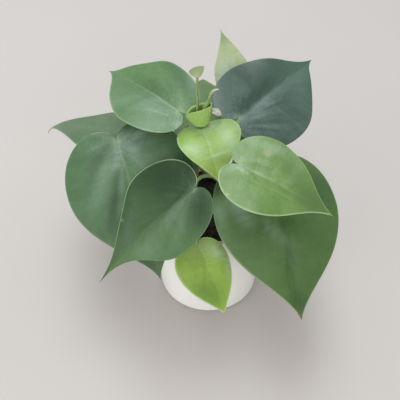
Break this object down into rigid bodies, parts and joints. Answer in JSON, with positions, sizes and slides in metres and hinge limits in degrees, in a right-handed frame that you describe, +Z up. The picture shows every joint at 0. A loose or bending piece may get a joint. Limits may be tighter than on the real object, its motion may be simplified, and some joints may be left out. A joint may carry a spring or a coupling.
{
  "type": "potted heartleaf philodendron",
  "caption": "Young trailing house plant with broad heart-shaped leaves on rooted vines, in a plain white pot of soil.",
  "frame": {"origin": "centre of the pot's foot, on the surface the pot stands on", "axes": "+Z up along the pot; -Y towards the front, where the camera of the picture stood; +X to its right"},
  "size_m": [0.2219, 0.2034, 0.1902],
  "materials": {
    "pot_glaze": "satin white glaze",
    "potting_soil": "loose potting mix of bark and coir, matte",
    "vine_skin": "living stem, satin",
    "leaf_dark": "living leaf, grown, satin waxy skin",
    "leaf_green": "living leaf, younger, satin waxy skin",
    "leaf_lime": "living leaf, new, satin soft skin",
    "leaf_pale": "living leaf, opening, matte",
    "dry_scale": "dry scale, matte"
  },
  "bodies": {
    "root": {"pot": "pot_glaze", "soil": "potting_soil", "vine_centre": "vine_skin", "vine_right": "vine_skin", "vine_left": "vine_skin", "leaf_a_upper_left": "leaf_green", "leaf_b_upper_right": "leaf_dark", "leaf_c_lime": "leaf_lime", "leaf_d_front_left": "leaf_dark", "leaf_e_right": "leaf_green", "leaf_f_front_right": "leaf_dark", "leaf_g_left": "leaf_dark", "leaf_h_rim": "leaf_lime", "leaf_j_far_left": "leaf_green", "leaf_k_rear": "leaf_pale", "leaf_l_under": "leaf_dark", "leaf_m_newest": "leaf_pale", "sheath": "leaf_lime", "leaf_spike": "leaf_pale", "dry_scale": "dry_scale"}
  },
  "joints": []
}
